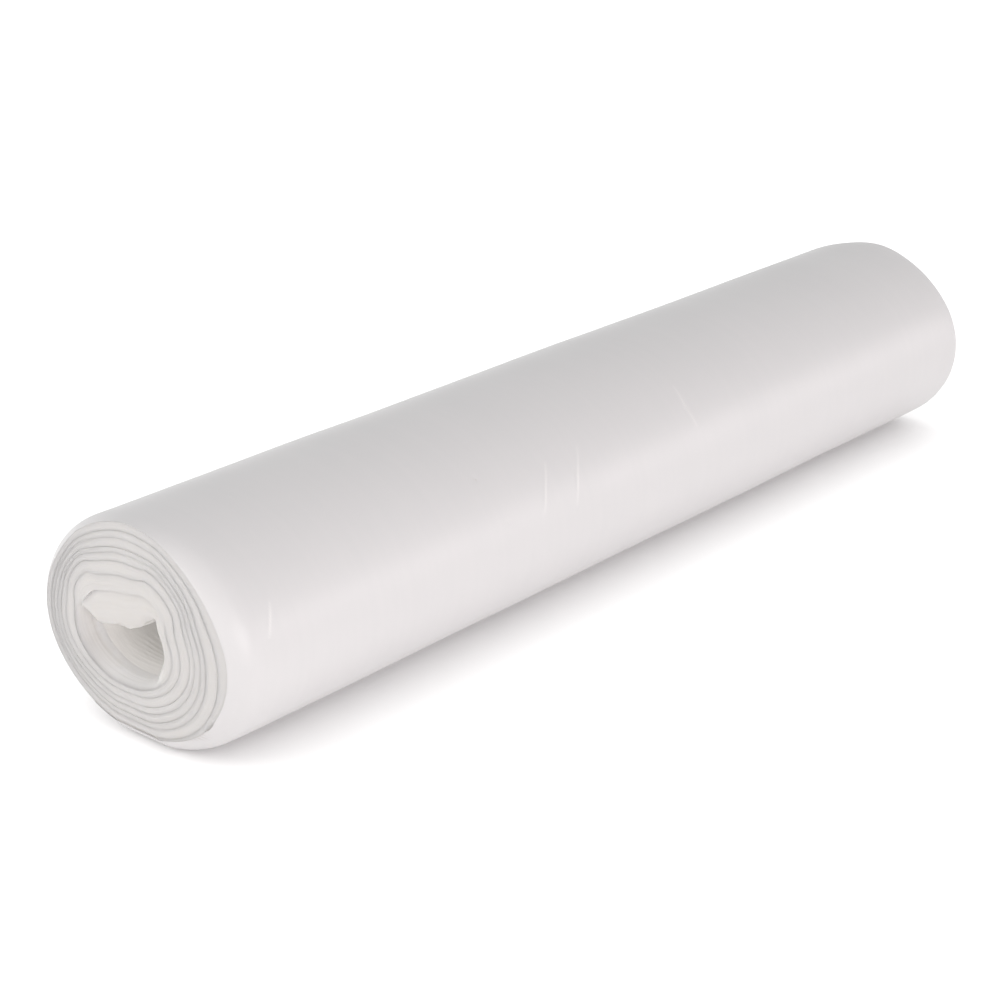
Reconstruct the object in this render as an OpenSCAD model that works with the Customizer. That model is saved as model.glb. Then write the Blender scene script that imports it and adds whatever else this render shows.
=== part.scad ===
// Coreless roll of plastic film bags, lying on its side.
// One long web of flattened film bags is wound round an empty middle. The roll is soft, so it
// sags into an oval with a flat underneath, its outer turns curl in at the ends, and the start
// of the web slumps into the hollow. X runs along the roll, +Z is up, and the origin is at the
// middle of the flat that the roll lies on.

/* [Roll] */
// Width of the wound web, which is the length of the roll
web_width = 500; // [300:10:650]
// Width of the roll across its oval section
roll_width = 110; // [95:1:140]
// Height of the roll as it lies
roll_height = 88; // [76:1:110]
// Width of the flat that the roll lies on
flat_width = 26; // [16:1:34]

/* [Winding] */
// Whole turns from the inner start of the web to above its outer tail
whole_turns = 7; // [4:1:8]
// Air gap between one turn and the next
turn_gap = 0.6; // [0.4:0.1:0.9]
// How much closer the middle turns lie than the innermost and outermost ones, as a share
crowding = 0.25; // [0:0.05:0.4]
// How far each end of the web stands off the turn beside it
lip_height = 1.4; // [1:0.1:2]
// Angle beyond each end of the web over which the turn beside it takes its place
lip_run = 50; // [40:5:50]
// Where the inner start of the web lies, from +Y over the top
start_angle = 0; // [-30:10:30]
// Where the outer tail of the web lies, from +Y over the top and under the roll
tail_angle = 300; // [290:10:310]

/* [Hollow] */
// Width of the hollow inside the innermost turn
hollow_width = 47; // [36:1:54]
// Height of the hollow before the web slumps into it
hollow_height = 32; // [26:1:38]
// How far the middle of the hollow lies to +Y of the middle of the roll
hollow_side = 7.5; // [0:0.5:10]
// How far the middle of the hollow lies below the middle of the roll
hollow_drop = 3; // [0:0.5:5]
// How far the start of the web slumps into the hollow
slump_depth = 9; // [4:0.5:12]
// Angle that the slump takes up, from the start of the web
slump_span = 150; // [110:10:200]

/* [Ends] */
// Radius to which the outermost turn curls in at each end
shoulder = 8.5; // [6:0.5:11]
// Angle through which the outermost turn curls in
curl_angle = 75; // [60:5:80]
// Length over which the edge of each turn is rounded off
edge_round = 2.4; // [1.5:0.1:3.5]
// Share of a turn's thickness that is left at its very edge
edge_share = 0.4; // [0.3:0.05:0.6]
// How far the edges of some turns are set back from the others
stagger = 0.9; // [0:0.1:1.4]

/* [Hidden] */
// Facets to one turn, the same in all turns, so that facing turns have matching facets
turn_facets = 36;
// Steps from the edge of the web to the end of its curl
curl_steps = 4;
// Waves of the set-back between the two ends of the web
stagger_waves = 5;

// Half axes of the oval, whose underside is cut off flat
oval_y = roll_width / 2;
flat_share = sqrt(1 - pow(flat_width / roll_width, 2));
oval_z = roll_height / (1 + flat_share);
centre_z = oval_z * flat_share;

// Turns of the web from its start to its tail, and turns that would fill the winding evenly
wound_turns = whole_turns + (tail_angle - start_angle) / 360;
lip_share = lip_height / (1 + crowding) / stack_at(tail_angle);
level_turns = (wound_turns - 1) / (1 - 2 * lip_share);
last_facet = round(wound_turns * turn_facets);

// Length of each end over which the outermost turn curls in
curl_reach = shoulder * sin(curl_angle);

function clamp(v) = max(0, min(1, v));

// The outer oval of the roll and the oval of its hollow, round the middle of the roll
function outer_oval(angle) =
    [oval_y * cos(angle), max(oval_z * sin(angle), -centre_z)];
function hollow_oval(angle) =
    [hollow_side + hollow_width / 2 * cos(angle), hollow_height / 2 * sin(angle) - hollow_drop];

// Depth of the winding at an angle
function stack_at(angle) = norm(outer_oval(angle) - hollow_oval(angle));

// A point of the winding: level 0 is the hollow's oval and level 1 the outer one
function wound_point(level, angle) =
    (1 - level) * hollow_oval(angle) + level * outer_oval(angle);

// A level moved so that the turns lie closer halfway through the winding
function crowded(level) = level + crowding * sin(360 * level) / (2 * PI);

// The faces of the web at a place along it, as levels, with half an air gap outside each. Where
// no other turn covers them they are the outside of the roll and the wall of its hollow.
function half_gap(angle) = turn_gap / 2 / stack_at(angle);
function outer_level(turn, angle) =
    let (past = (turn - wound_turns + 1) * 360 / lip_run)
    past > 0
        ? 1 - (lip_share + half_gap(angle)) * (1 - clamp(past))
        : turn / level_turns + lip_share - half_gap(angle);
function inner_level(turn, angle) =
    let (before = (1 - turn) * 360 / lip_run)
    before > 0
        ? (lip_share + half_gap(angle)) * (1 - clamp(before))
        : (turn - 1) / level_turns + lip_share + half_gap(angle);

// How far the start of the web hangs down into the hollow at a place along it
function slump_at(turn) = slump_depth * pow(sin(180 * clamp(turn * 360 / slump_span)), 2);

// How far the edge of the web is set back at a place along it
function set_back(turn) = stagger * pow(sin(180 * stagger_waves * turn / wound_turns), 2);

// How far the outermost level is curled in at a distance from the end of the roll
function curled_in(from_end) =
    shoulder - sqrt(pow(shoulder, 2) - pow(max(0, curl_reach - from_end), 2));

// How much of its thickness a turn keeps at a distance from its own edge
function edge_width(from_edge) =
    edge_share + (1 - edge_share) * sqrt(1 - pow(1 - clamp(from_edge / edge_round), 2));

// One corner of a section. The face is 0 inside and 1 outside, and the end is -1 at -X and 1 at
// +X. The facet counts along the web, and the step from its edge to the end of its curl.
function corner(facet, face, step, end) =
    let (
        turn = facet / turn_facets,
        angle = start_angle + 360 * turn,
        from_edge = curl_reach - shoulder * sin(curl_angle * (1 - step / curl_steps)),
        from_end = from_edge + set_back(turn) * (1 - from_edge / curl_reach),
        inner = crowded(inner_level(turn, angle)),
        outer = crowded(outer_level(turn, angle)),
        half = (outer - inner) / 2 * edge_width(from_edge),
        level = (inner + outer) / 2 + (face == 0 ? -half : half),
        flat = wound_point(level * (1 - curled_in(from_end) / stack_at(angle)), angle),
        slump = face == 0 && turn < 1 ? slump_at(turn) : 0
    )
    [end * (web_width / 2 - from_end), flat[0], centre_z + flat[1] - slump];

// All corners of one section, along the inner face of the web and back along the outer one
function section(step, end) = [
    for (facet = [0:last_facet]) corner(facet, 0, step, end),
    for (facet = [last_facet:-1:0]) corner(facet, 1, step, end)
];

// The wound web: a strip of film bags with an air gap between its turns, as one solid
module bag_roll() {
    sections = [
        for (step = [0:curl_steps]) section(step, -1),
        for (step = [curl_steps:-1:0]) section(step, 1)
    ];
    corners = 2 * (last_facet + 1);
    last_first = (len(sections) - 1) * corners;
    // The faces of the web and the edges of its two ends, between one section and the next
    walls = [
        for (first = [0:corners:last_first - corners], i = [0:corners - 1])
            let (
                j = (i + 1) % corners,
                a = first + i,
                b = first + j,
                c = b + corners,
                d = a + corners
            )
            each [[a, b, c], [a, c, d]]
    ];
    // The two edges of the web, which show as the turns at each end of the roll
    near_edge = [
        for (i = [0:last_facet - 1])
            each [[i, corners - 2 - i, i + 1], [i, corners - 1 - i, corners - 2 - i]]
    ];
    far_edge = [
        for (t = near_edge) [for (k = [2, 1, 0]) last_first + t[k]]
    ];
    color([0.86, 0.86, 0.85])
        polyhedron(
            points = [for (s = sections) each s],
            faces = concat(walls, near_edge, far_edge),
            convexity = 20
        );
}

bag_roll();
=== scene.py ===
import math

import bpy
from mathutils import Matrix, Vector, noise


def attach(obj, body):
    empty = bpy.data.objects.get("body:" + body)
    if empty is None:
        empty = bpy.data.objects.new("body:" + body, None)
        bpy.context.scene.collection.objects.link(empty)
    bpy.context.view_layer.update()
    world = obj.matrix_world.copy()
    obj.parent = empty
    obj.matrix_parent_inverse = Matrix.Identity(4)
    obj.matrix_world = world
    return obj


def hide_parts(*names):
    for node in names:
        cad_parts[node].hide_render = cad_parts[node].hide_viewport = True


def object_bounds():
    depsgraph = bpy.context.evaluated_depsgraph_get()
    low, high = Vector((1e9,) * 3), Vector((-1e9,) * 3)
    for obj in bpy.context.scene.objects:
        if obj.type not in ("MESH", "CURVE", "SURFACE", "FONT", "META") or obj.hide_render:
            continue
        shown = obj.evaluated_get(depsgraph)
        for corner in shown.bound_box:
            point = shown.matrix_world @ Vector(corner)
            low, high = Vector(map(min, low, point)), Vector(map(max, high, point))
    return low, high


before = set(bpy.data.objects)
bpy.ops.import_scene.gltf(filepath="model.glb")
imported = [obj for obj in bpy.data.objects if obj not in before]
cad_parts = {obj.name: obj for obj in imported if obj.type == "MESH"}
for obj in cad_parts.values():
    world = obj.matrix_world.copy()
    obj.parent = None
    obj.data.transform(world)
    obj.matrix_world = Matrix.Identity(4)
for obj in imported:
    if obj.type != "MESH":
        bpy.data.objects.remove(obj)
cad_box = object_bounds()
MM = 0.001

# The wound web. One flattened tube of thin polyethylene film, welded across into bags that hang
# together at their tear lines, is wound up with no core. It is soft: it sags to an oval that is
# flat underneath, and the edges of its outer turns curl in at both ends.
roll_size = cad_box[1] - cad_box[0]
half_web = roll_size.x / 2
roll = {
    # The oval of the roll, and the hollow that its innermost turn leaves
    "Web Width": roll_size.x,
    "Roll Width": roll_size.y,
    "Roll Height": roll_size.z,
    "Flat Width": 26 * MM,
    "Hollow Width": 47 * MM,
    "Hollow Height": 32 * MM,
    "Hollow Side": 7.5 * MM,
    "Hollow Drop": 3 * MM,
    "Slump Depth": 12 * MM,
    # The winding, whose tail is tucked under the roll
    "Wound Turns": 7 + 300 / 360,
    "Turn Gap": 0.01 * MM,
    "Lip Share": 0.3 / 1.25 / 31,
    "Lip Turns": 50 / 360,
    # How the ends curl in: nearly not at the top, and a little more on the near end's right
    "Shoulder": 13 * MM,
    "Curl Angle": math.radians(60),
    "Top Uncurled": 0.95,
    "End Taper": 1.3 * MM,
    "Taper Reach": 24 * MM,
    # The relief of the ends
    "Wall Bulge": 3.2 * MM,
    "Groove Depth": 0.5 * MM,
    "Mouth Round": 2.0 * MM,
    "Floor Slope": 4.5 * MM,
    "Stagger": 0.45 * MM,
    "Ply Height": 0.25 * MM,
    # Slow waves of the whole roll and quick ones of its ends, above the height that lies settled
    "Unevenness": 0.7 * MM,
    "Waviness": 0.35 * MM,
    "Settled Height": 10 * MM,
}


class Field:
    """A number that changes over a mesh, so that the rule for its points reads as a sum."""

    def __init__(self, tree, socket):
        self.tree, self.socket = tree, socket

    def math(self, operation, *others):
        node = self.tree.nodes.new("ShaderNodeMath")
        node.operation = operation
        for plug, value in zip(node.inputs, (self, *others)):
            feed(plug, value)
        return Field(self.tree, node.outputs["Value"])

    def __add__(self, other):
        return self.math("ADD", other)

    def __sub__(self, other):
        return self.math("SUBTRACT", other)

    def __rsub__(self, other):
        return (self * -1) + other

    def __mul__(self, other):
        return self.math("MULTIPLY", other)

    def __truediv__(self, other):
        return self.math("DIVIDE", other)

    def __pow__(self, other):
        return self.math("POWER", other)

    __radd__, __rmul__ = __add__, __mul__

    def least(self, other):
        return self.math("MAXIMUM", other)

    def most(self, other):
        return self.math("MINIMUM", other)

    def clamp(self):
        return self.most(1.0).least(0.0)

    def above(self, other):
        return self.math("GREATER_THAN", other)

    def size(self):
        return self.math("ABSOLUTE")

    def sin(self):
        return self.math("SINE")

    def cos(self):
        return self.math("COSINE")

    def sqrt(self):
        return self.least(0.0).math("SQRT")

    def through(self, *places):
        """The field read off a smooth line through places, whose numbers run from 0 to 1."""
        node = self.tree.nodes.new("ShaderNodeFloatCurve")
        line = node.mapping.curves[0].points
        for place in places[1:-1]:
            line.new(*place)
        for dot, place in zip(line, places):
            dot.location = place
            dot.handle_type = "AUTO_CLAMPED"
        node.mapping.update()
        feed(node.inputs["Value"], self)
        return Field(self.tree, node.outputs["Value"])

    def chance(self):
        """Smooth random numbers from 0 to 1 along the field."""
        node = step(self.tree, "ShaderNodeTexNoise", Scale=1.0, Detail=2.0)
        node.noise_dimensions = "1D"
        feed(node.inputs["W"], self)
        return Field(self.tree, node.outputs["Fac"])


def feed(plug, value):
    """Sets a node's input to a number, a colour or another node's output."""
    if isinstance(value, Field):
        value.tree.links.new(value.socket, plug)
    elif isinstance(value, bpy.types.NodeSocket):
        plug.id_data.links.new(value, plug)
    else:
        plug.default_value = value


def step(tree, kind, **inputs):
    """A node of a tree with its inputs set, whose spaces are written as underscores."""
    node = tree.nodes.new(kind)
    for name, value in inputs.items():
        feed(node.inputs[name.replace("_", " ")], value)
    return node


def choose(question, yes, no):
    """The field yes where question is above 0, and otherwise no."""
    return yes * question.above(0.0) + no * (1 - question.above(0.0))


def turn_places(level, angle):
    """Levels as the turns really lie: thick and thin by turns, and unlike on the four sides."""
    sides = (
        (angle.cos(), ((0, 0), (0.036, 0.02), (0.172, 0.141), (0.308, 0.391), (0.443, 0.533),
                       (0.579, 0.641), (0.715, 0.75), (0.851, 0.83), (1, 1))),
        (angle.sin(), ((0, 0), (0.07, 0.147), (0.206, 0.33), (0.342, 0.495), (0.477, 0.596),
                       (0.613, 0.661), (0.749, 0.779), (0.885, 0.863), (1, 1))),
        (angle.cos() * -1, ((0, 0), (0.104, 0.12), (0.24, 0.235), (0.376, 0.376), (0.511, 0.456),
                            (0.647, 0.55), (0.783, 0.63), (0.919, 0.786), (1, 1))),
        (angle.sin() * -1, ((0, 0), (0.138, 0.126), (0.274, 0.251), (0.409, 0.401), (0.545, 0.527),
                            (0.681, 0.667), (0.817, 0.78), (0.953, 0.92), (1, 1))),
    )
    total = 0.0
    for facing, places in sides:
        total = total + level.through(*places) * facing.least(0.0) ** 2.0
    # The thick fold over the hollow pushes the turns above it out at its two shoulders.
    shoulders = (angle / (2 * math.pi)).math("FRACT").through(
        (0, 0), (0.04, 0.1), (0.085, 0.7), (0.125, 1), (0.16, 0.7), (0.205, 0.1), (0.25, 0.05),
        (0.3, 0.7), (0.35, 0.85), (0.42, 0.2), (0.5, 0), (1, 0),
    )
    return total + shoulders * 0.24 * (total / 0.15).clamp() * (1 - total)


def winding_tree():
    """The tree that winds a flat web: X counts turns, Y is the place across in metres, and Z
    runs from -1 on the inner face to 1 on the outer one."""
    tree = bpy.data.node_groups.new("Wind Web", "GeometryNodeTree")
    tree.interface.new_socket("Geometry", in_out="INPUT", socket_type="NodeSocketGeometry")
    for name in roll:
        tree.interface.new_socket(name, in_out="INPUT", socket_type="NodeSocketFloat")
    tree.interface.new_socket("Film", in_out="INPUT", socket_type="NodeSocketMaterial")
    tree.interface.new_socket("Geometry", in_out="OUTPUT", socket_type="NodeSocketGeometry")
    given = tree.nodes.new("NodeGroupInput").outputs
    size = {name: Field(tree, given[name]) for name in roll}
    start = tree.nodes.new("GeometryNodeInputPosition")
    laid = step(tree, "ShaderNodeSeparateXYZ", Vector=start.outputs[0])
    turn, across, face = (Field(tree, laid.outputs[axis]) for axis in "XYZ")
    lift, sink = (
        Field(tree, step(tree, "GeometryNodeInputNamedAttribute", Name=name).outputs["Attribute"])
        for name in ("lift", "sink")
    )

    # The winding lies between the oval of the hollow and that of the roll, which is cut off flat.
    angle = turn * (2 * math.pi)
    oval_y = size["Roll Width"] * 0.5
    flat_share = (1 - (size["Flat Width"] / size["Roll Width"]) ** 2.0).sqrt()
    oval_z = size["Roll Height"] / (1 + flat_share)
    centre_z = oval_z * flat_share
    outer_y = oval_y * angle.cos()
    outer_z = (oval_z * angle.sin()).least(centre_z * -1)
    hollow_y = size["Hollow Side"] + size["Hollow Width"] * 0.5 * angle.cos()
    hollow_z = size["Hollow Height"] * 0.5 * angle.sin() - size["Hollow Drop"]
    stack_y, stack_z = outer_y - hollow_y, outer_z - hollow_z
    stack = (stack_y * stack_y + stack_z * stack_z).sqrt()

    # The faces of the web as levels, from 0 at the hollow to 1 on the outside. Where no other turn
    # covers them they run out to those two, over a short stretch past the ends of the web.
    lip, wound = size["Lip Share"], size["Wound Turns"]
    level_turns = (wound - 1) / (1 - lip * 2)
    half_gap = size["Turn Gap"] * 0.5 / stack
    past = (turn - wound + 1) / size["Lip Turns"]
    before = (1 - turn) / size["Lip Turns"]
    outer = choose(
        past, 1 - (lip + half_gap) * (1 - past.clamp()), turn / level_turns + lip - half_gap
    )
    inner = choose(
        before, (lip + half_gap) * (1 - before.clamp()), (turn - 1) / level_turns + lip + half_gap
    )
    inner, outer = turn_places(inner, angle), turn_places(outer, angle)

    # The right-hand wall of the hollow bulges into it.
    bulge = turn.through(
        (0, 0), (0.33, 0), (0.38, 0.3), (0.44, 1), (0.52, 1), (0.6, 0.7), (0.66, 0.1), (0.72, 0),
        (1, 0),
    )
    inner = inner - bulge * size["Wall Bulge"] / stack * (1 - turn).above(0.0)
    level = (inner + outer) * 0.5 + (outer - inner) * 0.5 * face

    # A groove between two turns is as deep on both its sides, and runs out here and there: its
    # depths are given a quarter turn apart, from above the hollow's start to the outermost turn.
    groove = turn - (1 - face.above(0.0))
    quarter_depths = (
        0.2, 0.5, 0, 0.3, 0.3, 0.7, 1, 0.9, 0.4, 1, 1, 0.7, 0.3, 0.5, 0.9, 0.6, 0.3, 0.4, 0.8, 0.9,
        0.3, 0.5, 0.6, 1, 0.3, 0.6, 0.3, 0.6, 0,
    )
    quarters = len(quarter_depths) - 1
    deep = (groove / (quarters / 4)).clamp().through(
        *((i / quarters, depth) for i, depth in enumerate(quarter_depths))
    )
    # It is pressed shut beside the bulging wall, and the outside of the last turn is no groove.
    closing = 30
    shut = (groove - 0.33).clamp() * (0.74 - groove).clamp() * closing
    outermost = (groove - wound + 1) * closing
    deep = deep * (1 - shut.clamp()) * (1 - outermost.clamp())
    # The turns stand apart at the top and round the lower right, and lie tight on the left.
    apart = (angle / (2 * math.pi)).math("FRACT").through(
        (0, 0.02), (0.11, 0.1), (0.18, 0.75), (0.26, 0.85), (0.32, 0.2), (0.41, 0.15), (0.47, 0.75),
        (0.55, 1), (0.75, 1), (0.82, 0.5), (0.9, 0.1), (1, 0.02),
    )
    mouth = ((0.08 - groove) / 0.03).clamp()
    round_off = size["Mouth Round"] * mouth + size["Groove Depth"] * deep * apart * (1 - mouth)
    dome = round_off * face.size() ** 1.9
    # At the floor of the hollow the innermost turn has no ridge: it slopes down into the mouth.
    slope_end = 1.1
    sloped = (turn / slope_end).clamp().through(
        (0, 0), (0.5, 0), (0.56, 0.35), (0.62, 0.9), (0.7, 1), (0.86, 1), (0.94, 0.7), (0.98, 0.2),
        (1, 0),
    )
    sloped = sloped * (slope_end - turn).above(0.0)
    dome = dome + size["Floor Slope"] * sloped * ((1 - face) * 0.5) ** 1.4

    # No two turns end quite level, and neither do the plies of one turn.
    ply_place = step(tree, "ShaderNodeCombineXYZ", X=turn * 5.0, Y=face * 5.0)
    plies = step(tree, "ShaderNodeTexNoise", Vector=ply_place.outputs[0], Scale=1.0, Detail=1.0)
    ply = size["Ply Height"] * (Field(tree, plies.outputs["Fac"]) - 0.5) * 2
    uneven_edge = size["Stagger"] * (((turn * 1.3).chance() - 0.3) * 2).clamp() + ply
    back = uneven_edge * (apart * 0.7 + 0.3) + dome + sink

    # Towards its two edges the web curls in to the shoulder of the roll.
    reach = size["Shoulder"] * size["Curl Angle"].sin()
    web_end = size["Web Width"] * 0.5
    from_edge = web_end - across.size()
    fade = (1 - from_edge / reach).clamp()
    from_end = from_edge + back * fade
    turned = (reach - from_end).least(0.0)
    curl = size["Shoulder"] - (size["Shoulder"] ** 2.0 - turned * turned).sqrt()
    curl = curl * (1 - size["Top Uncurled"] * angle.sin().least(0.0) ** 4.0)
    right_side, near_end = (angle.cos() * -1).least(0.0), (across * -1).above(0.0)
    taper = (1 - from_end / size["Taper Reach"]).clamp() ** 2.0 * right_side
    curl = curl + size["End Taper"] * taper * near_end
    level = level * (1 - curl / stack) + lift / stack

    # The start of the web sags into the hollow, most of all over its middle.
    place_y = hollow_y + stack_y * level
    place_z = centre_z + hollow_z + stack_z * level
    unsagged = 0.26
    slump = turn.through(
        (0, unsagged), (0.05, 0.2), (0.1, 0.5), (0.16, 0.95), (0.23, 1), (0.272, 0.92), (0.33, 0.5),
        (0.362, 0.28), (0.4, 0.12), (0.443, 0.15), (0.5, unsagged), (0.7, unsagged), (1, unsagged),
    )
    slump = (slump - unsagged) / (1 - unsagged) * size["Slump Depth"]
    place_z = place_z - slump * (1 - turn).above(0.0) * (1 - face) * 0.5
    place_x = across.math("SIGN") * (web_end - from_end)
    place = step(tree, "ShaderNodeCombineXYZ", X=place_x, Y=place_y, Z=place_z)

    # The roll is soft and uneven, but not where its own weight has settled it on the flat.
    loose = (place_z / size["Settled Height"]).clamp()
    shift_y, shift_z = 0.0, 0.0
    for wave, scale, share in (("Unevenness", 9.0, 1.0), ("Waviness", 55.0, fade)):
        uneven = step(tree, "ShaderNodeTexNoise", Vector=place.outputs[0], Scale=scale, Detail=1.0)
        shift = step(tree, "ShaderNodeSeparateXYZ", Vector=uneven.outputs["Color"])
        push = loose * 2 * size[wave] * share
        shift_y = (Field(tree, shift.outputs["X"]) - 0.5) * push + shift_y
        shift_z = (Field(tree, shift.outputs["Y"]) - 0.5) * push + shift_z
    place_y, place_z = place_y + shift_y, (place_z + shift_z).least(0.0)
    settled = step(tree, "ShaderNodeCombineXYZ", X=place_x, Y=place_y, Z=place_z)

    # The place on the flat web stays with each point, for the film's streaks and creases.
    web = step(tree, "ShaderNodeCombineXYZ", X=turn, Y=across, Z=face)
    stored = tree.nodes.new("GeometryNodeStoreNamedAttribute")
    stored.data_type = "FLOAT_VECTOR"
    feed(stored.inputs["Geometry"], given["Geometry"])
    feed(stored.inputs["Name"], "web")
    feed(stored.inputs["Value"], web.outputs[0])
    wound_up = step(
        tree, "GeometryNodeSetPosition", Geometry=stored.outputs[0], Position=settled.outputs[0]
    )
    smooth = step(tree, "GeometryNodeSetShadeSmooth", Geometry=wound_up.outputs[0])
    # Only the corners between an edge of the web and its faces stay sharp.
    bend = Field(tree, tree.nodes.new("GeometryNodeInputMeshEdgeAngle").outputs["Unsigned Angle"])
    crisp = tree.nodes.new("GeometryNodeSetShadeSmooth")
    crisp.domain = "EDGE"
    feed(crisp.inputs["Geometry"], smooth.outputs[0])
    feed(crisp.inputs["Selection"], bend.above(math.radians(50)))
    feed(crisp.inputs["Shade Smooth"], False)
    real = step(tree, "GeometryNodeRealizeInstances", Geometry=crisp.outputs[0])
    clad = step(tree, "GeometryNodeSetMaterial", Geometry=real.outputs[0], Material=given["Film"])
    feed(tree.nodes.new("NodeGroupOutput").inputs["Geometry"], clad.outputs[0])
    return tree


def flat_web(name, turns, acrosses, faces, moves):
    """A closed box of film laid flat, with a vertex at each given turn, place across and face.
    Moves gives how far a vertex is lifted off the roll, how far its edge is sunk into it, and how
    strong the painted highlight that whitens the film along a crease is there."""
    places = (turns, acrosses, faces)
    numbers, corners, walls = {}, [], []

    def corner(*key):
        if key not in numbers:
            numbers[key] = len(corners)
            corners.append([line[i] for line, i in zip(places, key)])
        return numbers[key]

    for axis in range(3):
        one, two = (axis + 1) % 3, (axis + 2) % 3
        for side in (0, len(places[axis]) - 1):
            for i in range(len(places[one]) - 1):
                for j in range(len(places[two]) - 1):
                    ring = [(i, j), (i + 1, j), (i + 1, j + 1), (i, j + 1)]
                    wall = []
                    for a, b in ring if side else reversed(ring):
                        key = [0, 0, 0]
                        key[axis], key[one], key[two] = side, a, b
                        wall.append(corner(*key))
                    walls.append(wall)
    mesh = bpy.data.meshes.new(name)
    mesh.from_pydata(corners, [], walls)
    moved = [moves(*place) for place in corners]
    for move, values in zip(("lift", "sink", "crease_highlight"), zip(*moved)):
        mesh.attributes.new(move, "FLOAT", "POINT").data.foreach_set("value", values)
    piece = bpy.data.objects.new(name, mesh)
    bpy.context.scene.collection.objects.link(piece)
    return piece


def wind(piece, tree, material, **changes):
    """Winds a flat web up, and leaves the result as the piece's plain mesh."""
    modifier = piece.modifiers.new("Wind", "NODES")
    modifier.node_group = tree
    sizes = {**roll, **{name.replace("_", " "): value for name, value in changes.items()}}
    for socket in tree.interface.items_tree:
        if socket.in_out == "INPUT" and socket.name in sizes:
            modifier[socket.identifier] = sizes[socket.name]
        elif socket.name == "Film":
            modifier[socket.identifier] = material
    wound_up = piece.evaluated_get(bpy.context.evaluated_depsgraph_get())
    mesh = bpy.data.meshes.new_from_object(wound_up)
    piece.modifiers.remove(modifier)
    piece.data = mesh
    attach(piece, "root")
    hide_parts("bag_roll")


def spread(low, high, count):
    """Evenly spaced numbers from low to high."""
    return [low + (high - low) * i / (count - 1) for i in range(count)]


def film_grain():
    """The group that all the film's materials share: a cloudy haze all through it, and streaks
    that run the way the web is wound, read from each point's place on the flat web."""
    group = bpy.data.node_groups.new("Film Grain", "ShaderNodeTree")
    for name in ("Haze Scale", "Streaks Round", "Streaks Across", "Streaks Deep"):
        group.interface.new_socket(name, in_out="INPUT", socket_type="NodeSocketFloat")
    for name in ("Haze", "Streak", "Inside", "Crease"):
        group.interface.new_socket(name, in_out="OUTPUT", socket_type="NodeSocketFloat")
    given = group.nodes.new("NodeGroupInput").outputs
    place = group.nodes.new("ShaderNodeTexCoord").outputs["Object"]
    cloud = step(group, "ShaderNodeTexNoise", Vector=place, Scale=given["Haze Scale"], Detail=3.0)
    web = group.nodes.new("ShaderNodeAttribute")
    web.attribute_name = "web"
    laid = step(group, "ShaderNodeSeparateXYZ", Vector=web.outputs["Vector"])
    turn, across, face = (Field(group, laid.outputs[axis]) for axis in "XYZ")
    stretched = step(
        group,
        "ShaderNodeCombineXYZ",
        X=turn * Field(group, given["Streaks Round"]),
        Y=across * Field(group, given["Streaks Across"]),
        Z=face * Field(group, given["Streaks Deep"]),
    )
    line = step(group, "ShaderNodeTexNoise", Vector=stretched.outputs[0], Scale=1.0, Detail=2.5)
    out = group.nodes.new("NodeGroupOutput")
    feed(out.inputs["Haze"], cloud.outputs["Fac"])
    feed(out.inputs["Streak"], line.outputs["Fac"])
    # The inside is the floor of the hollow, on the inner face of the innermost turn, and it
    #     begins just past the mouth. It masks the painted light of the hollow.
    past_mouth = ((half_web - 0.5 * MM - across.size()) / (4 * MM)).clamp()
    on_floor = ((turn - 0.55) * 10).clamp() * ((0.92 - turn) * 8).clamp()
    inner_face = ((0.7 - face) * 1.2).clamp()
    inside = past_mouth.least(on_floor * inner_face) * (1.1 - turn).above(0.0)
    feed(out.inputs["Inside"], inside)
    # The crease mask, which carries a painted highlight along the creases.
    crease_highlight = group.nodes.new("ShaderNodeAttribute")
    crease_highlight.attribute_name = "crease_highlight"
    feed(out.inputs["Crease"], Field(group, crease_highlight.outputs["Fac"]).clamp())
    return group


grain = film_grain()


def blend(tree, share, one, other):
    """A colour between one and other, as its share grows from 0 to 1."""
    node = tree.nodes.new("ShaderNodeMix")
    node.data_type = "RGBA"
    share_plug, one_plug, other_plug = (node.inputs[i] for i in (0, 6, 7))
    feed(share_plug, share)
    feed(one_plug, one)
    feed(other_plug, other)
    return node.outputs[2]


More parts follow.
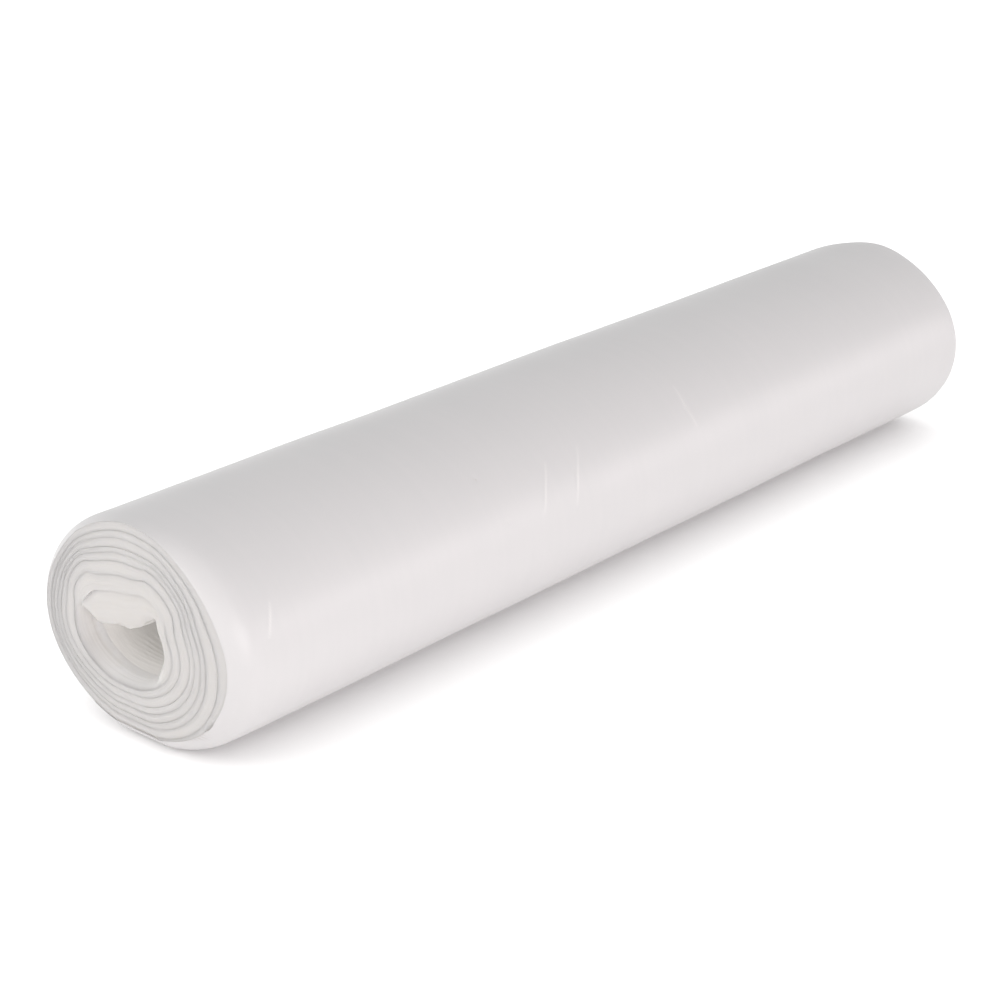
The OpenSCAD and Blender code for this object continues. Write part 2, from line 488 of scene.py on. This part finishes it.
def film(name, colours, roughness, streaks, relief, through=0.0, inside=None):
    """Milky film: a colour that clouds over to a second one, with streaks in low relief, and a
    painted highlight that whitens it along its creases. Light goes through it to a share, and film
    that has a colour for the inside of the hollow is painted lighter there and given a faint glow:
    painted light for the light from outside that comes through the film into the hollow."""
    material = bpy.data.materials.new(name)
    material.use_nodes = True
    tree = material.node_tree
    shader = tree.nodes["Principled BSDF"]
    group = tree.nodes.new("ShaderNodeGroup")
    group.node_tree = grain
    haze_scale = 26.0
    for plug, value in zip(group.inputs, (haze_scale, *streaks)):
        feed(plug, value)
    haze = Field(tree, group.outputs["Haze"])
    streak = Field(tree, group.outputs["Streak"])
    clouding = ((haze - 0.5) * 1.2 + (streak - 0.5) * 1.6 + 0.5).clamp()
    colour, shade = colours
    colour = blend(tree, clouding, (*colour, 1), (*shade, 1))
    # Painted highlight: the film is painted near white along the creases, for the light their
    # ridges catch.
    colour = blend(tree, group.outputs["Crease"], colour, (0.99, 0.975, 0.97, 1))
    # Painted light: the hollow is painted lighter and given a faint glow, for light coming through
    # the film.
    if inside:
        colour = blend(tree, group.outputs["Inside"], colour, (*inside, 1))
        glow = blend(tree, group.outputs["Inside"], (0, 0, 0, 1), (*inside, 1))
        feed(shader.inputs["Emission Color"], glow)
        shader.inputs["Emission Strength"].default_value = 0.035
    feed(shader.inputs["Base Color"], colour)
    feed(shader.inputs["Roughness"], haze * 0.12 + (roughness - 0.06))
    bump = step(tree, "ShaderNodeBump", Strength=1.0, Distance=relief, Height=streak + haze * 0.3)
    feed(shader.inputs["Normal"], bump.outputs[0])
    shader.inputs["Specular IOR Level"].default_value = 0.5
    if through:
        shader.inputs["Subsurface Weight"].default_value = through
        shader.inputs["Subsurface Radius"].default_value = (1, 0.97, 0.9)
        shader.inputs["Subsurface Scale"].default_value = 4 * MM
    return material


milky = ((0.85, 0.83, 0.81), (0.82, 0.797, 0.773))
# A painted light colour for the hollow, lighter than the film, for light that comes through the
# film.
painted_hollow_light = (0.96, 0.945, 0.925)
film_edges = film(
    "film_edges", milky, 0.5, (4.0, 60.0, 3.5), 0.2 * MM, through=0.6, inside=painted_hollow_light
)
winding = winding_tree()
curl_reach = roll["Shoulder"] * math.sin(roll["Curl Angle"])
curl_steps = 12
curled_places = [
    half_web - curl_reach + roll["Shoulder"] * math.sin(roll["Curl Angle"] * (1 - i / curl_steps))
    for i in range(curl_steps + 1)
]


def torn_and_pitted(turn, across, face):
    """The lower lip of the fold over the hollow is uneven, as film tears, and a small pocket is
    open between the two outermost turns of the near end."""
    depth = half_web - abs(across)
    lip = max(0, 1 - depth / (7 * MM)) * max(0, -face) ** 3
    fold = max(0, min(1, (turn - 0.09) * 25, (0.42 - turn) * 12))
    ragged = noise.noise(Vector((turn * 60, across * 80, 3)))
    ragged = ragged + 1.5 * noise.noise(Vector((turn * 25, 1, across * 60)))
    degrees_off = (turn - 7.601) * 360
    pocket = math.exp(-((degrees_off / 3.4) ** 2 + ((face - 0.6) / 0.42) ** 2) ** 2)
    lift = 0.45 * MM * ragged * lip * fold
    sink = MM * (1.2 * fold + 4 * pocket * (across < 0))
    return lift, sink, 0


middle_places = [-0.231, -0.223, -0.214] + spread(-0.2, 0.2, 20) + [0.214, 0.223, 0.231]
wound_web = flat_web(
    "wound_web",
    spread(0.075, 0.46, 105) + spread(0.47, 7.56, 478) + spread(7.566, 7.64, 24)
    + spread(7.65, roll["Wound Turns"], 12),
    [-place for place in curled_places] + middle_places + curled_places[::-1],
    [-1, -0.97, -0.9, -0.78, -0.62, -0.42, -0.2, 0, 0.2, 0.42, 0.62, 0.78, 0.9, 0.97, 1],
    torn_and_pitted,
)
wind(wound_web, winding, film_edges)

# The lining of the hollow. The first bag's film lies loose and crumpled inside the innermost
# turn: fine curved wrinkles run down its floor, and its roof hangs in broad folds. It shows at
# both ends of the roll, and nothing holds it but the turn that it lies in.
film_lining = film(
    "film_lining", milky, 0.45, (9.0, 300.0, 0.0), 0.2 * MM, inside=painted_hollow_light
)


def crumpled(turn, across, face):
    """How far the lining stands out from the wall of the hollow, with its folds and wrinkles."""
    depth = half_web - abs(across)
    floor = max(0, min(1, (turn - 0.56) * 14, (0.93 - turn) * 12))
    roof = max(0, min(1, turn * 9, (0.5 - turn) * 9))
    sway = noise.noise(Vector((turn * 6, depth * 60, 5)))
    fan = depth / (2.4 * MM) + (turn - 0.7) * 9 + sway * 1.5
    wrinkle = abs(math.sin(fan * math.pi)) ** 0.6 - 0.5
    wrinkled = math.exp(-((turn - 0.77) / 0.09) ** 2 - ((depth - 26 * MM) / (14 * MM)) ** 2)
    broad = noise.noise(Vector((turn * 11, depth * 70, 2)))
    inner = max(0, min(1, (depth - 9 * MM) / (14 * MM), (60 * MM - depth) / (20 * MM)))
    height = floor * (0.45 * wrinkle * wrinkled + 0.5 * broad + 0.1) + roof * 0.9 * broad
    seat = max(0, min(1, (depth - 7 * MM) / (10 * MM)))
    return -MM * (height * inner + 0.5 * seat - 0.25), 0, 0


lining_depths = spread(6 * MM, 60 * MM, 84) + spread(64 * MM, 200 * MM, 8)
for end, name in ((-1, "near_lining"), (1, "far_lining")):
    lining = flat_web(
        name,
        spread(0.08, 0.55, 70) + spread(0.555, 1.07, 130),
        sorted(end * (half_web - depth) for depth in lining_depths),
        [-1.05, -1],
        crumpled,
    )
    wind(lining, winding, film_lining)

# The outer wrap. The last turn of the web is its smoothest: the film lies tight over the turns
# below, with a few fine creases, and its own cling holds its tail down under the roll.
film_wrap = film(
    "film_wrap", ((0.875, 0.862, 0.865), (0.86, 0.85, 0.853)), 0.38, (2.0, 260.0, 0.0), 0.03 * MM
)
# Each crease is a line of places: millimetres along the roll and degrees round it.
creases = (
    ((-69.7, 141.6), (-76.9, 154.2), (-82.3, 166.4)),
    ((-48.5, 140.9), (-56.6, 154.6), (-62.6, 169.5)),
    ((26.0, 131.5), (24.3, 143.6), (25.6, 156.8)),
    ((-228.7, 150.9), (-234.7, 166.9)),
)
pits = ((-103.4, 162.6), (-108.8, 137.8))


def wrap_lift(turn, across, face):
    """How far the outer wrap stands off the turn below, at its creases, its pits, the gap at its
    near edge and the crinkled corner below that, and how strong the painted highlight along its
    creases is."""
    x, degrees = across / MM, (turn % 1) * 360
    depth, from_near_end = (half_web - abs(across)) / MM, x + half_web / MM
    lift, crease_highlight = 0.3 * min(1, 0.15 + depth / 8), 0
    for crease in creases:
        first, last = crease[0][1], crease[-1][1]
        for (x0, d0), (x1, d1) in zip(crease, crease[1:]):
            if d0 - 0.3 <= degrees < d1 + 0.3:
                off = x - x0 - (x1 - x0) * (degrees - d0) / (d1 - d0)
                run = max(0, math.sin(math.pi * (degrees - first) / (last - first))) ** 0.5
                ridge = 0.25 * math.exp(-((off + 0.5) / 0.5) ** 2)
                valley = 0.1 * math.exp(-((off - 0.5) / 0.5) ** 2)
                lift += run * (ridge - valley)
                # Along each crease the film gets a painted highlight.
                crease_highlight += run * math.exp(-(off / 0.55) ** 2)
    for pit_x, pit_degrees in pits:
        lift -= 0.4 * math.exp(-(x - pit_x) ** 2 - ((degrees - pit_degrees) / 1.3) ** 2)
    gap = math.exp(-((degrees - 216.4) / 5) ** 2) * max(0, 1 - from_near_end / 7) ** 2
    crinkled = max(0, 1 - abs(degrees - 227) / 11) * max(0, 1 - from_near_end / 4)
    lift += 0.6 * gap + 0.3 * crinkled * math.sin(degrees * 2.6)
    return MM * lift, 0, crease_highlight


# Points lie closer where the creases, the pits and the near edge's gap and corner are: degrees
# round the last turn, and metres along the roll.
wrap_turns = []
for low, high, count in (
    (-60, 69, 60), (69, 172, 84), (172, 209, 30), (209, 240, 44), (240, 300, 24)
):
    wrap_turns += spread(7 + low / 360, 7 + high / 360, count + 1)[:-1]
wrap_turns.append(roll["Wound Turns"])
close_places = (
    spread(-0.2365, -0.2265, 16) + spread(-0.1105, -0.101, 13) + spread(-0.084, -0.046, 66)
    + spread(0.022, 0.0285, 12)
)
wide_places = [
    place
    for place in spread(-0.22, -0.115, 12) + spread(-0.094, 0.015, 12) + spread(0.035, 0.235, 18)
    if not -0.0845 < place < -0.0455
]
outer_wrap = flat_web(
    "outer_wrap",
    wrap_turns,
    [-place for place in curled_places] + sorted(close_places + wide_places) + curled_places[::-1],
    [0.96, 1],
    wrap_lift,
)
wind(outer_wrap, winding, film_wrap, Groove_Depth=0.0)

# The studio. The roll lies on a white floor that keeps its soft shadow, deepened near the roll by a
# painted contact shadow, in a white room. Two broad lamps light its long side, and two smaller ones
# its near end.
def white_where_seen(tree, shader, glow):
    """A shader to which a glow is added where the camera sees it, directly or mirrored."""
    ray = tree.nodes.new("ShaderNodeLightPath")
    seen = Field(tree, ray.outputs["Is Camera Ray"])
    for kind in ("Is Glossy Ray", "Is Transmission Ray"):
        seen = seen.least(Field(tree, ray.outputs[kind]))
    light = step(tree, "ShaderNodeEmission", Strength=seen * glow)
    both = tree.nodes.new("ShaderNodeAddShader")
    feed(both.inputs[0], shader)
    feed(both.inputs[1], light.outputs[0])
    return both.outputs[0]


floor_mesh = bpy.data.meshes.new("floor")
floor_mesh.from_pydata([(-6, -6, 0), (6, -6, 0), (6, 6, 0), (-6, 6, 0)], [], [(0, 1, 2, 3)])
floor = bpy.data.objects.new("floor", floor_mesh)
bpy.context.scene.collection.objects.link(floor)
paper = bpy.data.materials.new("white_paper")
paper.use_nodes = True
tree = paper.node_tree
tree.nodes.clear()
card = step(tree, "ShaderNodeBsdfDiffuse", Color=(0.95, 0.95, 0.95, 1))
floor_place = tree.nodes.new("ShaderNodeTexCoord").outputs["Object"]
away = step(tree, "ShaderNodeVectorMath", Vector=floor_place)
away.operation = "LENGTH"
# The floor's glow is strongest far away, and is dimmed close to the roll: a painted contact shadow
# that deepens the floor's real shadow there.
painted_contact_shadow = step(tree, "ShaderNodeAmbientOcclusion", Distance=0.045)
painted_contact_shadow.samples = 3
floor_glow = (Field(tree, away.outputs["Value"]) / 1.6).clamp() * 0.05 + 0.88
floor_glow = floor_glow * Field(tree, painted_contact_shadow.outputs["AO"]) ** 1.3
out = tree.nodes.new("ShaderNodeOutputMaterial")
feed(out.inputs["Surface"], white_where_seen(tree, card.outputs[0], floor_glow))
floor_mesh.materials.append(paper)

world = bpy.data.worlds.new("studio")
world.use_nodes = True
bpy.context.scene.world = world
tree = world.node_tree
tree.nodes.clear()
ambient = 0.425
room = step(tree, "ShaderNodeBackground", Color=(1, 1, 1, 1), Strength=ambient)
out = tree.nodes.new("ShaderNodeOutputWorld")
feed(out.inputs["Surface"], white_where_seen(tree, room.outputs[0], 1 - ambient))


def soft_lamp(name, place, target, size, watts, colour):
    """A lamp of a given width and height that shines from its place towards the target."""
    lamp = bpy.data.lights.new(name, "AREA")
    lamp.shape = "RECTANGLE"
    lamp.size, lamp.size_y = size
    lamp.energy = watts
    lamp.color = colour
    holder = bpy.data.objects.new(name, lamp)
    holder.location = place
    holder.rotation_euler = (Vector(target) - Vector(place)).to_track_quat("-Z", "Y").to_euler()
    bpy.context.scene.collection.objects.link(holder)


roll_middle, near_face = (0, 0, 0.04), (-0.25, 0, 0.04)
cool, warm = (1, 0.935, 0.937), (1, 0.98, 0.965)
soft_lamp("side_lamp", (1.5, -1.6, 0.36), roll_middle, (1.8, 0.7), 7.6, cool)
soft_lamp("front_lamp", (-0.8, -1.6, 0.36), roll_middle, (0.9, 0.7), 9, cool)
soft_lamp("end_lamp", (-1.15, 0.7, 0.75), near_face, (0.9, 0.9), 5, warm)
soft_lamp("end_fill", (-1.5, -0.6, 0.4), near_face, (0.9, 0.7), 2.2, warm)

# The camera. It stands in front of the roll's near end and to its right, a little above it, and
# looks along the roll with a long lens, so that both ends keep nearly the same size.
camera_data = bpy.data.cameras.new("camera")
camera_data.lens = 82.23
camera_data.sensor_width = 36
camera = bpy.data.objects.new("camera", camera_data)
camera.location = (-0.7372, -0.5821, 0.3896)
looking = Vector((0.7124, 0.5998, -0.3645))
camera.rotation_euler = looking.to_track_quat("-Z", "Y").to_euler()
bpy.context.scene.collection.objects.link(camera)
bpy.context.scene.camera = camera
bpy.context.scene.view_settings.view_transform = "Standard"
